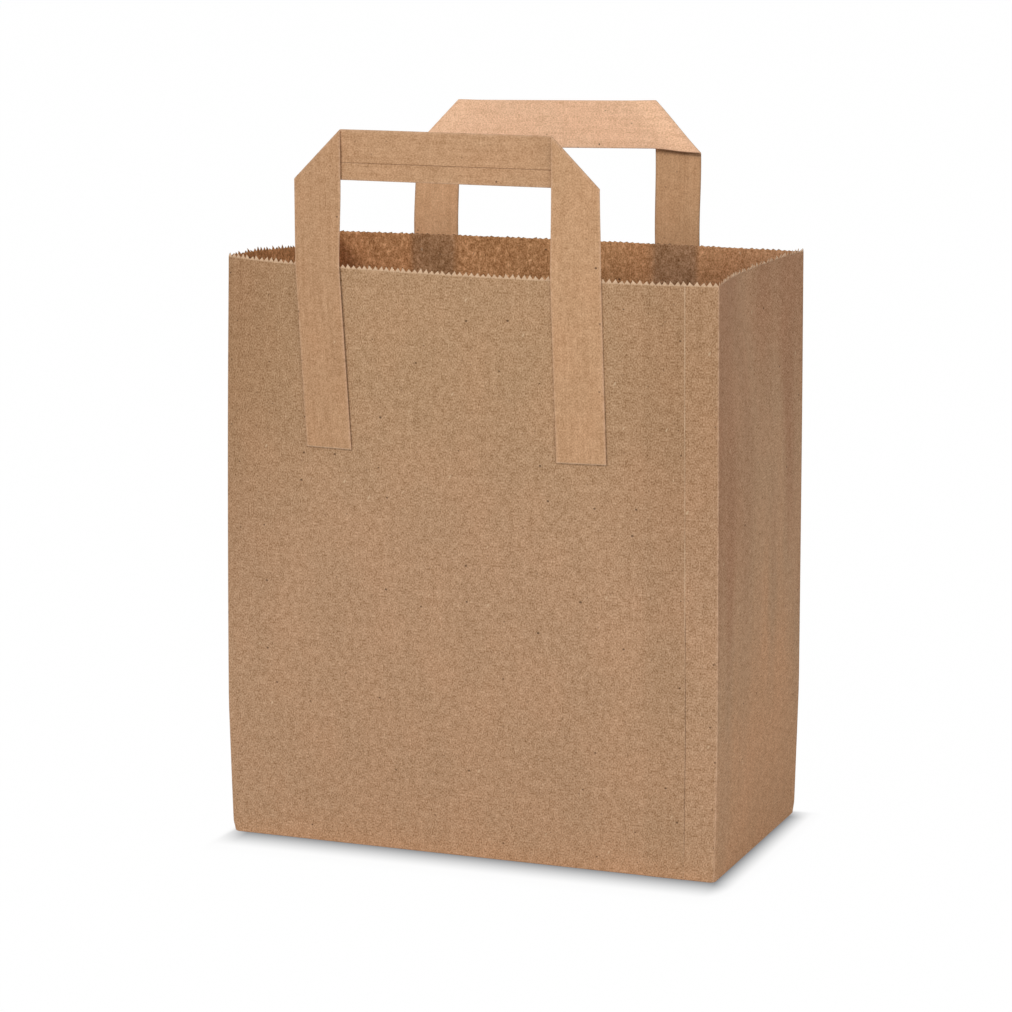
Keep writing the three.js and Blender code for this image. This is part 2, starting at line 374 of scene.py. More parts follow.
def tone_at(s, z):
    """Painted light and shade. Above 0 the paper is painted warm and pale, as it is along the base and low on the
    gussets, and below 0 it is painted greyer, as it is down the gussets' outer thirds near the mouth and on the
    front's left strip. Random bands of it are added, strong on the gussets."""
    panel, u = on_panel(s)
    tone = 0.9 * math.exp(-max(z, 0) / 7)
    if panel in (1, 3):
        tone += 0.7 * math.exp(-(((u - 0.55) / 0.2) ** 2)) + 1.3 * float(smooth(150, 20, z))
        tone -= 0.55 + 0.5 * float(smooth(60, 230, z))
        tone += 0.8 * wave(s, z * 0.12, 5, 11, 2)
    else:
        tone += 0.12 * wave(s, z * 0.4, 9, 40, 5)
        # The front is painted in shade in a band left of the seam and along its left strip.
        tone -= 0.4 * float(smooth(0.72, 0.92, u)) * float(smooth(60, 190, z)) * (panel == 0)
        tone -= 0.75 * float(smooth(0.28, 0, u)) * float(smooth(60, 230, z)) * (panel == 0)
    return min(max(tone, -1), 1)


def behind_leg(tape, x, z):
    """1 where a glued leg of a handle backs the wall. There the inner face is painted with the leg's shadow through
    the paper.
    """
    centres = [tape["shift"] + side * (HANDLE_WIDTH - TAPE_WIDTH) / 2 for side in (-1, 1)]
    off = min(abs(x - centre) for centre in centres) - TAPE_WIDTH / 2
    return float(1 - smooth(-1.6, 1.6, off)) * float(smooth(LEG_FOOT - 1, LEG_FOOT + 1, z))


def skin_point(sheet, s, z, inward, **marks):
    """Adds the point of the outer skin, or of the inner one a ply inward."""
    step = 0.2
    x, y = wall_xy(s, z)
    x1, y1 = wall_xy(s + step, z)
    x0, y0 = wall_xy(s - step, z)
    along = np.array([x1 - x0, y1 - y0, 0])
    up_z = min(z + 1, HEIGHT)
    xa, ya = wall_xy(s, up_z)
    xb, yb = wall_xy(s, up_z - 2)
    up = np.array([xa - xb, ya - yb, 2])
    normal = np.cross(along, up)
    normal /= np.linalg.norm(normal)
    out = relief(s, z) * float(smooth(0, 25, z)) + (-PAPER if inward else extra_ply(s % GIRTH))
    place = np.array([x, y, z + rim_lift(s, z)]) + normal * out
    panel = on_panel(s)[0]
    if inward:
        marks["inner"] = 1.0
        tone = tone_at(s, z)
        # Behind a glued leg the inner face gets the leg's painted shadow.
        if panel in (0, 2):
            marks["painted_leg_shadow"] = behind_leg(BACK_TAPE if panel else FRONT_TAPE, x, z)
        # The inside of the back panel is painted lighter towards the right, where its inner tint also fades, and
        # darker towards the left; the inside of the left gusset is painted light.
        if panel == 2:
            rightward = x / (WIDTH / 2)
            marks["inner"] = 1 - 0.75 * max(rightward, 0)
            tone = min(1.9 * max(rightward, 0), 1) - 0.65 * max(-rightward, 0)
        if panel == 3:
            tone = 0.8
        return sheet.point(place, fold=near_fold(s, z), tone=tone, **marks)
    past_seam = (s % GIRTH) - SEAM_EDGE
    if -0.1 < past_seam < 0.1:
        pale = (1 - 0.75 * float(smooth(120, 90, z))) * (0.7 + 0.6 * wave(0, z, 3, 9))
        marks["edge"] = max(marks.get("edge", 0), pale)
    # A painted shade line beside the seam's edge, strongest low down.
    if 0.2 < past_seam < 0.3:
        low_down = 1.1 * float(smooth(120, 90, z)) * float(smooth(5, 30, z))
        dark = (0.15 + low_down) * (0.75 + 0.9 * wave(9, z, 3, 14))
        marks["gap"] = min(max(dark, 0), 1)
    ply = float(smooth(SEAM_START, SEAM_START + SEAM_RAMP, s % GIRTH)) * (past_seam < SEAM_STEP / 2)
    # The front is more olive and darker towards the top, and painted in shade the same way along its left strip.
    if panel == 0:
        leftward = float(smooth(0.28, 0, on_panel(s)[1]))
        marks["olive_and_painted_shade"] = 0.6 * float(smooth(110, 215, z)) + 0.4 * leftward * float(smooth(60, 230, z))
    return sheet.point(place, fold=near_fold(s, z), ply=ply, tone=tone_at(s, z), **marks)


def skin(sheet, inward, heights):
    """Rows of points up one side of the wall, and the pinked edge over them. Returns the lowest row, the distances
    round the bag of its points, and the rim. Both skins draw alike, so that their teeth match."""
    depth_mark = 5.0 if inward else 0.0
    valleys = columns()
    around = np.sort(np.concatenate([valleys, extra_columns()]))
    kept = [around[0]]
    for s in around[1:]:
        if s - kept[-1] > 0.04:
            kept.append(s)
    around = np.array(kept)
    count = len(around)
    rows = []
    for z in heights:
        pale = 0.5 if z == heights[-1] and not inward else 0.0
        rows.append([skin_point(sheet, s, z, inward, edge=pale * (on_panel(s)[0] == 0)) for s in around])

    def add(ids, paper):
        if inward:
            ids, paper = ids[::-1], paper[::-1]
        sheet.face(ids, paper)

    for j in range(len(rows) - 1):
        for i in range(count):
            k = (i + 1) % count
            right = around[k] if k else GIRTH
            add(
                [rows[j][i], rows[j][k], rows[j + 1][k], rows[j + 1][i]],
                [
                    (around[i], heights[j], depth_mark),
                    (right, heights[j], depth_mark),
                    (right, heights[j + 1], depth_mark),
                    (around[i], heights[j + 1], depth_mark),
                ],
            )

    rim = []
    dice = random.Random(41)
    order = list(valleys) + [GIRTH]
    for left, right in zip(order[:-1], order[1:]):
        base = [i for i, s in enumerate(around) if left - 1e-6 <= s <= right + 1e-6]
        ids = [rows[-1][i] for i in base]
        places = [around[i] for i in base]
        if right == GIRTH:
            ids.append(rows[-1][0])
            places.append(GIRTH)
        panel = on_panel(left + 1)[0]
        far = panel in (2, 3)
        tall = TOOTH_DEPTH * (dice.uniform(0.15, 0.65) if far else dice.uniform(0.7, 1.15))
        lean = dice.uniform(-0.45, 0.45)
        curl = dice.uniform(-0.35, 0.6)
        pale = dice.uniform(0.1, 0.7) if panel == 1 else dice.uniform(0.7, 1.0)
        if panel == 1:
            tall, curl, pale = tall * 1.15, curl * 1.8, pale + 0.3
        elif far:
            tall, lean = tall * (0.6 if panel == 2 else 1.7), lean * 1.5
        # The inner faces of the teeth at the back and the left gusset get painted shade, by a random amount; the rest
        # have pale cut edges.
        tooth_shade = dice.uniform(0.3, 0.9) if far else 0.0
        tooth_marks = {"gap": tooth_shade} if far and inward else {"edge": pale}
        foot = HEIGHT - TOOTH_DEPTH
        width = right - left
        shoulder = TOOTH_SHOULDER * width
        mid = foot + 0.5 * tall
        middle_left = tooth_point(sheet, left + shoulder + 0.4 * lean, mid, inward, 0.3 * curl, tooth_marks)
        middle_right = tooth_point(sheet, right - shoulder + 0.4 * lean, mid, inward, 0.3 * curl, tooth_marks)
        tip = tooth_point(sheet, left + 0.5 * width + lean, foot + tall, inward, curl, tooth_marks)
        low = [(s, foot, depth_mark) for s in places]
        paper_left = (left + shoulder, mid, depth_mark)
        paper_right = (right - shoulder, mid, depth_mark)
        paper_tip = (left + 0.5 * width, foot + tall, depth_mark)
        add(ids + [middle_right, middle_left], low + [paper_right, paper_left])
        add([middle_left, middle_right, tip], [paper_left, paper_right, paper_tip])
        rim += [(ids[0], places[0]), (middle_left, paper_left[0])]
        rim += [(tip, paper_tip[0]), (middle_right, paper_right[0])]
    return rows[0], around, rim


def tooth_point(sheet, s, z, inward, curl, tooth_marks):
    """Adds a point of a tooth, bent out of the wall by the curl."""
    point = skin_point(sheet, s, z, inward, **tooth_marks)
    x, y, height = sheet.points[point]
    ahead = wall_xy(s + 0.3, z) - wall_xy(s - 0.3, z)
    ahead /= np.linalg.norm(ahead)
    sheet.points[point] = (x + ahead[1] * curl, y - ahead[0] * curl, height)
    return point


STEP_WIDTH = 0.16


def inside(distance):
    return float(np.clip(0.5 + distance / STEP_WIDTH, 0, 1))


def flap_edges(half_width, half_deep, overlap):
    """The free edge and the two slanted sides of a base flap that is folded in from the front: each as a point and
    the direction that points into the flap."""
    reach = half_deep + overlap / 2
    slope = math.sqrt(0.5)
    return [
        ((0, reach - half_deep), (0, -1)),
        ((half_width, -half_deep), (-slope, -slope)),
        ((-half_width, -half_deep), (slope, -slope)),
    ]


def flap_cover(edges, x, y, turned=False):
    sign = -1 if turned else 1
    distances = [((sign * x - px) * nx + (sign * y - py) * ny) for (px, py), (nx, ny) in edges]
    return inside(min(distances))


def underside_height(x, y, half_width, half_deep):
    front = flap_cover(flap_edges(half_width, half_deep, FLAP_OVERLAP), x, y)
    back = flap_cover(flap_edges(half_width, half_deep, FLAP_OVERLAP), x, y, turned=True)
    return (1 - front) * (PAPER if back > 0.5 else PAPER * (2 - back))


def floor_height(x, y, half_width, half_deep):
    """Inside the bag the ends of the gussets are folded flat over the long flaps."""
    slope = math.sqrt(0.5)
    end = (abs(x) - half_width + half_deep) * slope - abs(y) * slope
    return BASE_THICKNESS - PAPER * (1 - inside(end))


def step_lines(half_width, half_deep):
    """Pairs of lines along the slanted and free edges of the flaps, kept off the outline."""
    reach = half_deep + FLAP_OVERLAP / 2
    lines = [
        ((reach - half_width, reach - half_deep), (half_width - reach, reach - half_deep)),
        ((half_width - 1, 1 - half_deep), (half_width - reach, reach - half_deep)),
        ((1 - half_width, 1 - half_deep), (reach - half_width, reach - half_deep)),
        ((half_width - 1, half_deep - 1), (half_width - half_deep, 0)),
        ((1 - half_width, half_deep - 1), (half_deep - half_width, 0)),
    ]
    pairs = []
    for start, end in lines:
        a, b = Vector(start), Vector(end)
        side = (b - a).normalized().orthogonal() * STEP_WIDTH / 2
        pairs += [(a + side, b + side), (a - side, b - side)]
    return pairs


def cap(sheet, ring, height_at, upward, depth_mark):
    """Closes a ring of points with a floor whose height follows the folded plies."""
    outline = [Vector(sheet.points[i][:2]) for i in ring]
    half_width = max(p.x for p in outline)
    half_deep = max(p.y for p in outline)
    lines = step_lines(half_width, half_deep)
    coordinates = outline + [p for line in lines for p in line]
    count = len(outline)
    edges = [(i, (i + 1) % count) for i in range(count)]
    edges += [(count + 2 * i, count + 2 * i + 1) for i in range(len(lines))]
    points, _, faces, originals, _, _ = delaunay_2d_cdt(coordinates, edges, [], 1, 1e-4)
    ids = []
    for p, sources in zip(points, originals):
        ring_source = [i for i in sources if i < count]
        if ring_source:
            ids.append(ring[ring_source[0]])
        else:
            ids.append(sheet.point((p.x, p.y, height_at(p.x, p.y, half_width, half_deep)), fold=0.35))
    for a, b, c in faces:
        (ax, ay), (bx, by), (cx, cy) = points[a], points[b], points[c]
        turning = (bx - ax) * (cy - ay) - (by - ay) * (cx - ax)
        if abs(turning) < 1e-9:
            continue
        order = (a, b, c) if (turning > 0) == upward else (a, c, b)
        sheet.face([ids[i] for i in order], [(points[i][0], points[i][1], depth_mark) for i in order])


def make_bag_body(material):
    sheet = Sheet()
    wall_top = HEIGHT - TOOTH_DEPTH
    rows = int(round(wall_top / ROW_HEIGHT))
    lifts = [BASE_FOLD_RADIUS + (wall_top - BASE_FOLD_RADIUS) * j / rows for j in range(rows + 1)]
    lifts = sorted(lifts + [*BASE_ROWS, BASE_CREASE, wall_top - 0.9, wall_top - 0.35])
    outer_foot, around, outer_rim = skin(sheet, False, lifts)
    inner_heights = [max(z, BASE_THICKNESS) for z in lifts]
    inner_foot, _, inner_rim = skin(sheet, True, [BASE_THICKNESS] + inner_heights)

    for (a, sa), (b, sb), (c, _), (d, _) in zip(
        outer_rim, outer_rim[1:] + outer_rim[:1], inner_rim[1:] + inner_rim[:1], inner_rim
    ):
        sheet.face([a, b, c, d], [(sa, HEIGHT, 0), (sb, HEIGHT, 0), (sb, HEIGHT, 0.2), (sa, HEIGHT, 0.2)])

    steps = 4
    previous = outer_foot
    foot_points = [sheet.points[i] for i in outer_foot]
    for step in range(1, steps + 1):
        turn = step / steps * math.pi / 2
        ring = []
        for (x, y, _), s in zip(foot_points, around):
            ahead = wall_xy(s + 0.5, BASE_FOLD_RADIUS) - wall_xy(s - 0.5, BASE_FOLD_RADIUS)
            ahead /= np.linalg.norm(ahead)
            inset = BASE_FOLD_RADIUS * (1 - math.cos(turn))
            px, py = x - ahead[1] * inset, y + ahead[0] * inset
            drop = BASE_FOLD_RADIUS * (1 - math.sin(turn))
            # The turn of the base fold is painted light, with a faint pale fold line.
            ring.append(sheet.point((px, py, drop), fold=0.25 * math.sin(2 * turn), tone=1.0))
        count = len(ring)
        for i in range(count):
            k = (i + 1) % count
            right = around[k] if k else GIRTH
            sheet.face(
                [ring[i], ring[k], previous[k], previous[i]],
                [(around[i], -step, 0), (right, -step, 0), (right, 1 - step, 0), (around[i], 1 - step, 0)],
            )
        previous = ring

    half_width = max(sheet.points[i][0] for i in previous)
    half_deep = max(sheet.points[i][1] for i in previous)
    for i in previous:
        x, y, _ = sheet.points[i]
        sheet.points[i] = (x, y, underside_height(x, y, half_width, half_deep))
    for i in inner_foot:
        x, y, _ = sheet.points[i]
        sheet.points[i] = (x, y, floor_height(x, y, half_width, half_deep))
    cap(sheet, previous, underside_height, False, 3.0)
    cap(sheet, inner_foot, floor_height, True, 7.0)
    return sheet.build("carrier_sheet", material)


# The handles

def make_handle(name, tape, reach_at, material, seed):
    """A flat tape: up a leg, over a 45 degree fold behind itself, along the bar and down again. It faces -1 on the
    front panel and 1 on the back."""
    sheet = Sheet()
    facing = tape["facing"]
    bar_foot = tape["top"] - TAPE_WIDTH
    turn_radius = TAPE_THICKNESS / 2 + 0.06
    half_roll = math.pi * turn_radius / 2
    outside = HANDLE_WIDTH / 2
    slope = math.sqrt(0.5)
    round_edge = TAPE_THICKNESS / 2

    def folded(b, along):
        """Across-handle place, height and depth behind the leg, for the left half of the tape laid out flat. b is the
        distance from its outer edge, and along the distance up from its foot."""
        z = LEG_FOOT + along
        past = ((z - bar_foot) - b) * slope
        line = ((z - bar_foot) + b) * slope
        if past <= -half_roll:
            across_line, depth = past, 0.0
        elif past < half_roll:
            angle = (past + half_roll) / turn_radius
            across_line = -half_roll + turn_radius * math.sin(angle)
            depth = turn_radius * (1 - math.cos(angle))
        else:
            across_line, depth = -past, 2 * turn_radius + tape["loose"] * float(smooth(half_roll, 8, past))
        return -outside + (line - across_line) * slope, bar_foot + (line + across_line) * slope, depth

    def placed(side, b, along, out):
        """A point of the tape in space. out is its distance from the middle of the tape, towards the face that is
        outermost on the legs."""
        across, z, depth = folded(b, along)
        ahead, zc, depth_c = folded(b, along + 0.02)
        beside, zb, depth_b = folded(b + 0.02, along)
        direct_a = np.array([ahead - across, zc - z, depth_c - depth])
        direct_b = np.array([beside - across, zb - z, depth_b - depth])
        normal = np.cross(direct_a, direct_b)
        normal /= np.linalg.norm(normal)
        across, z, depth = np.array([across, z, depth]) + normal * out
        x = tape["shift"] + facing * side * across
        slant = tape["slants"][0 if x < tape["shift"] else 1]
        x += slant * max(0, (tape["slant_top"] - z) / (tape["slant_top"] - LEG_FOOT))
        wall = reach_at(-facing * x, min(z, HEIGHT))
        lean = float(smooth(HEIGHT, bar_foot, z))
        reach = wall + (DEPTH / 2 + tape["bar_reach"] - wall) * lean
        wobble = 0.35 * wave(x, z, 0, 34, seed) * float(smooth(LEG_FOOT + 60, bar_foot, z))
        near_bar = float(smooth(HEIGHT - 20, bar_foot, z))
        z += tape["tilt"] * (x - tape["shift"]) / HANDLE_WIDTH * near_bar
        z -= tape["droop"] * float(smooth(outside - TAPE_WIDTH, outside, x - tape["shift"])) * near_bar
        return x, facing * (reach + GLUE_GAP + TAPE_THICKNESS / 2 - depth + wobble), z

    edge_steps = [0, 0.06, 0.2, 0.35]
    seam = 0.35 * TAPE_WIDTH
    inner = list(np.linspace(1.2, TAPE_WIDTH - 1.2, 16))
    seam_steps = [seam + d for d in (-0.3, -0.1, 0, 0.06, 0.16, 0.36)]
    across_tape = sorted(edge_steps + [TAPE_WIDTH - e for e in edge_steps] + inner + seam_steps)
    fold_rows = list(np.linspace(-half_roll * 1.6, half_roll * 1.6, 13))
    leg_length = bar_foot - LEG_FOOT
    leg_rows = 34
    bar_rows = 16

    def along_at(row, b):
        fold_at = leg_length + b
        near = fold_at + fold_rows[0] / slope
        far = fold_at + fold_rows[-1] / slope
        if row < 2:
            return 0.4 * row
        if row <= leg_rows - 5:
            return 0.4 + (leg_length - 3.0) * (row - 1) / (leg_rows - 6)
        if row < leg_rows:
            left = leg_rows - row
            return min(leg_length + 0.6 - 0.6 * left, near - 0.12 * left)
        if row == leg_rows:
            return near
        if row < leg_rows + len(fold_rows):
            return fold_at + fold_rows[row - leg_rows] / slope
        end = leg_length + outside
        share = (row - leg_rows - len(fold_rows) + 1) / bar_rows
        return far + (end - far) * share

    row_count = leg_rows + len(fold_rows) + bar_rows
    grid = {}
    wide = len(across_tape)
    for side in (-1, 1):
        for face in (0, 1):
            for row in range(row_count):
                for i, b in enumerate(across_tape):
                    shared_middle = side == 1 and row == row_count - 1
                    shared_edge = face == 1 and i in (0, wide - 1)
                    if shared_middle:
                        grid[side, face, row, i] = grid[-1, face, row, i]
                        continue
                    if shared_edge:
                        grid[side, face, row, i] = grid[side, 0, row, i]
                        continue
                    in_edge = min(b, TAPE_WIDTH - b, round_edge)
                    half = math.sqrt(max(0, round_edge**2 - (round_edge - in_edge) ** 2))
                    out = half if face == 0 else -half
                    if face == 1 and b > seam + 0.03:
                        out += TAPE_PLY_STEP if i < wide - 4 else 0.0
                    along = along_at(row, b)
                    edge = 1.0 if row == 0 else 0.0
                    # Pale lines along the leg edges and the tape's fold, partly rubbed and partly painted highlight;
                    # painted light and shade by leg and bar; painted shade lines at the tape's seam, along the leg
                    # edges and under the folded bar.
                    at_edge = math.exp(-((min(b, TAPE_WIDTH - b) / 0.35) ** 2))
                    past_fold = float(smooth(-0.5, 0.5, along - leg_length - b))
                    fold = at_edge * (tape["edges"][0] + (1 - tape["edges"][0]) * past_fold)
                    bend = abs(along - leg_length - b) * slope
                    fold = max(fold, 0.8 * math.exp(-((bend / 0.6) ** 2)))
                    leg_tone = tape["tones"][0 if facing * side > 0 else 2]
                    leg_tone -= 0.8 * max(leg_tone, 0) * max(1 - along / leg_length, 0)
                    tone = leg_tone + (tape["tones"][1] - leg_tone) * past_fold
                    gap = tape["seam_line"] if face == 1 and -0.11 < b - seam < 0.01 else 0.0
                    gap = max(gap, tape["edges"][1] * at_edge * (1 - past_fold))
                    if face == 1 and facing * side < 0 and past_fold == 0:
                        under_bar = math.exp(-(((along - leg_length + 0.9) / 0.8) ** 2))
                        gap = max(gap, tape["fold_gap"] * under_bar * (1 - 0.8 * b / TAPE_WIDTH))
                    grid[side, face, row, i] = sheet.point(
                        placed(side, b, along, out), edge=edge, fold=fold, tone=tone, gap=gap
                    )

    full = 2 * (leg_length + outside)
    for side in (-1, 1):
        for face in (0, 1):
            outward = (face == 0) == (side == -1)
            for row in range(row_count - 1):
                for i in range(wide - 1):
                    corners = [(row, i), (row, i + 1), (row + 1, i + 1), (row + 1, i)]
                    if not outward:
                        corners = corners[::-1]
                    paper = []
                    for r, c in corners:
                        along = along_at(r, across_tape[c])
                        along = along if side == -1 else full - along
                        paper.append((across_tape[c], along + 40 * seed, 2.0 * face))
                    sheet.face([grid[side, face, r, c] for r, c in corners], paper)
        for i in range(wide - 1):
            ids = [grid[side, 0, 0, i], grid[side, 1, 0, i], grid[side, 1, 0, i + 1], grid[side, 0, 0, i + 1]]
            if side == 1:
                ids = ids[::-1]
            unique = list(dict.fromkeys(ids))
            if len(unique) > 2:
                sheet.face(unique, [(across_tape[i], 0, 1)] * len(unique))
    return sheet.build(name, material)


def across_share(across, half_width):
    return min(max((across / half_width + 1) / 2, 0), 1)


def front_wall(across, z):
    return front_reach(across_share(across, front_half_width(z)), z)


def back_wall(across, z):
    return back_reach(across_share(across, back_half_width(z)), z)


# Materials

class Nodes:
    """A material's node tree, built by short calls."""

    def __init__(self, name):
        self.material = bpy.data.materials.new(name)
        self.material.use_nodes = True
        self.tree = self.material.node_tree
        self.shader = self.tree.nodes["Principled BSDF"]

    def add(self, kind, inputs=None, **settings):
        node = self.tree.nodes.new(kind)
        for key, value in settings.items():
            setattr(node, key, value)
        for key, value in (inputs or {}).items():
            self.feed(node.inputs[key], value)
        return node

    def feed(self, socket, value):
        if isinstance(value, bpy.types.NodeSocket):
            self.tree.links.new(value, socket)
        else:
            socket.default_value = value

    def math(self, operation, a, b=0.0):
        node = self.add("ShaderNodeMath", operation=operation)
        for socket, value in zip(node.inputs, (a, b)):
            self.feed(socket, value)
        return node.outputs[0]

    def ramp(self, value, low, high, start=0.0, end=1.0):
        inputs = {"Value": value, "From Min": low, "From Max": high, "To Min": start, "To Max": end}
        return self.add("ShaderNodeMapRange", inputs, clamp=True).outputs["Result"]

    def mix(self, share, a, b):
        node = self.add("ShaderNodeMix", data_type="RGBA")
        self.feed(node.inputs["Factor"], share)
        colours = [s for s in node.inputs if s.type == "RGBA"]
        self.feed(colours[0], a)
        self.feed(colours[1], b)
        return next(s for s in node.outputs if s.type == "RGBA")

    def mark(self, name):
        return self.add("ShaderNodeAttribute", attribute_name=name)

    def paper(self, stretch=(1, 1, 1), turn=0.0):
        """The paper's own coordinate in metres, turned in its plane and then stretched."""
        source = self.mark("paper").outputs["Vector"]
        turned = self.add(
            "ShaderNodeVectorRotate", {"Vector": source, "Angle": turn}, rotation_type="Z_AXIS"
        ).outputs["Vector"]
        return self.add("ShaderNodeVectorMath", {0: turned, 1: stretch}, operation="MULTIPLY").outputs["Vector"]

    def noise(self, vector, scale, detail=2.0, rough=0.5):
        inputs = {"Vector": vector, "Scale": scale, "Detail": detail, "Roughness": rough}
        return self.add("ShaderNodeTexNoise", inputs).outputs["Fac"]

    def specks(self, vector, scale, radius, chance):
        """1 inside small spots of uneven size, one in some of the cells of a Voronoi pattern."""
        cells = self.add("ShaderNodeTexVoronoi", {"Vector": vector, "Scale": scale}, voronoi_dimensions="2D")
        dice = self.add("ShaderNodeSeparateColor", {"Color": cells.outputs["Color"]})
        size = self.ramp(dice.outputs["Green"], 0, 1, 0.45 * radius, radius)
        spot = self.ramp(self.math("DIVIDE", cells.outputs["Distance"], size), 0.6, 1.0, 1.0, 0.0)
        return self.math("MULTIPLY", spot, self.math("LESS_THAN", dice.outputs["Red"], chance))

    def swing(self, value, size):
        """A noise turned into a difference of about that size either way."""
        return self.math("MULTIPLY", self.math("SUBTRACT", value, 0.5), size)

    def graded(self, base, level):
        """The base colour at a level of tone. Blue swings most and red least, so pale grain is less coloured."""
        swings = [self.math("POWER", level, power) for power in (0.82, 1.0, 1.26)]
        parts = self.add("ShaderNodeCombineXYZ", dict(zip("XYZ", swings)))
        made = self.add("ShaderNodeVectorMath", {0: parts.outputs[0], 1: base[:3]}, operation="MULTIPLY")
        return made.outputs["Vector"]

    def times(self, tint, factors, share):
        """The tint, multiplied channel by channel where the share is 1."""
        made = self.add("ShaderNodeVectorMath", {0: tint, 1: factors}, operation="MULTIPLY").outputs["Vector"]
        return self.mix(share, tint, made)


def colour(r, g, b):
    """A colour written as on a screen, 0 to 255, as Blender's linear value."""
    linear = [((c / 255 + 0.055) / 1.055) ** 2.4 if c > 10 else c / 255 / 12.92 for c in (r, g, b)]
    return (*linear, 1.0)


def kraft(name, base, rough, grain, mottled, cloud, streak, streak_scale, specks, rub_and_highlight, lit, shaded, inner):
    """Unbleached paper: fine grain, faint clouds and streaks, dark specks and pale shives, with paler cut edges. lit
    and shaded multiply the base as painted light and painted shade, where that mark is above and below 0, and inner
    does on the inner face. Folds get a pale line, part rubbed wear and part painted highlight, and there are painted
    shade lines, the painted shadows of the legs seen from inside, and an olive darkening that is painted shade on the
    front's left strip."""
    n = Nodes(name)
    grit = n.noise(n.paper((1.25, 0.95, 1)), 1450, 0)
    pulp = n.noise(n.paper((1.15, 0.9, 1)), 300, 2, 0.85)
    clouds = n.noise(n.paper((1, 0.7, 1)), 48, 2)
    streaks = n.noise(n.paper((1, 0.05, 1)), streak_scale, 2, 0.6)
    inside_mark = n.mark("inner").outputs["Fac"]
    mottle = n.noise(n.paper((1, 0.75, 1)), 560, 2, 0.7)

    level = n.math("ADD", 1.0, n.swing(grit, grain))
    level = n.math("ADD", level, n.swing(pulp, mottled))
    level = n.math("ADD", level, n.swing(clouds, cloud))
    level = n.math("ADD", level, n.swing(streaks, streak))
    fleck = n.math("ADD", n.swing(mottle, 0.5), n.ramp(mottle, 0.5, 0.75, -0.07, 0.65))
    level = n.math("ADD", level, n.math("MULTIPLY", fleck, inside_mark))
    tint = n.graded(base, n.math("MAXIMUM", level, 0.1))
    tint = n.times(tint, (1.02, 0.995, 0.985), n.ramp(clouds, 0.4, 0.65))
    # Painted light where the mark is above 0 and painted shade where it is below 0.
    tone = n.mark("tone").outputs["Fac"]
    tint = n.times(tint, lit, n.ramp(tone, 0, 1))
    tint = n.times(tint, shaded, n.ramp(tone, 0, -1))
    tint = n.times(tint, inner, inside_mark)
    # More olive and darker: towards the top of the front, and as painted shade along its left strip.
    tint = n.times(tint, (0.94, 0.955, 0.88), n.mark("olive_and_painted_shade").outputs["Fac"])

    fine = n.specks(n.paper((1, 0.8, 1)), 190, 0.085, 0.3 * specks)
    bold = n.specks(n.paper((0.8, 1, 1)), 70, 0.04, 0.4 * specks)
    shives = n.specks(n.paper((1, 0.4, 1), 0.5), 75, 0.035, 0.3 * specks)
    tint = n.mix(n.math("MULTIPLY", fine, 0.4), tint, colour(104, 76, 54))
    tint = n.mix(n.math("MULTIPLY", bold, 0.75), tint, colour(74, 50, 34))
    tint = n.mix(n.math("MULTIPLY", shives, 0.5), tint, colour(222, 194, 160))

    tint = n.times(tint, (0.95, 0.953, 0.945), n.mark("ply").outputs["Fac"])
    # The painted shadow of a handle's leg, seen through the paper from inside.
    tint = n.times(tint, (0.72, 0.78, 0.87), n.mark("painted_leg_shadow").outputs["Fac"])
    # A pale line along folds, partly rubbed wear and partly painted highlight.
    rub_and_highlight_share = n.ramp(pulp, 0.35, 0.65, 0.3 * rub_and_highlight, rub_and_highlight)
    tint = n.mix(n.math("MULTIPLY", n.mark("fold").outputs["Fac"], rub_and_highlight_share), tint, colour(214, 176, 146))
    # Painted shade lines: at the seam and the tapes' own folds, along the legs' edges, under the folded back bar and
    # on the inner faces of the far teeth.
    tint = n.mix(n.math("MULTIPLY", n.mark("gap").outputs["Fac"], 0.8), tint, colour(66, 44, 30))
    tint = n.mix(n.math("MULTIPLY", n.mark("edge").outputs["Fac"], 0.85), tint, colour(228, 196, 164))

    n.feed(n.shader.inputs["Base Color"], tint)
    n.shader.inputs["Specular IOR Level"].default_value = 0.1
    n.shader.inputs["Roughness"].default_value = rough
    height = n.math("ADD", n.math("MULTIPLY", grit, 0.4), pulp)
    bump = n.add("ShaderNodeBump", {"Strength": 0.3, "Distance": 0.00012, "Height": height})
    n.feed(n.shader.inputs["Normal"], bump.outputs["Normal"])
    return n.material


# Studio. The contact shadow's reach past the base, in millimetres, towards lower and higher values of each axis

SHADOW_REACHES = (("X", WIDTH / 2, 2.5, 9.2), ("Y", DEPTH / 2, 21, 2.5))
SHADOW_POWER = 1.5


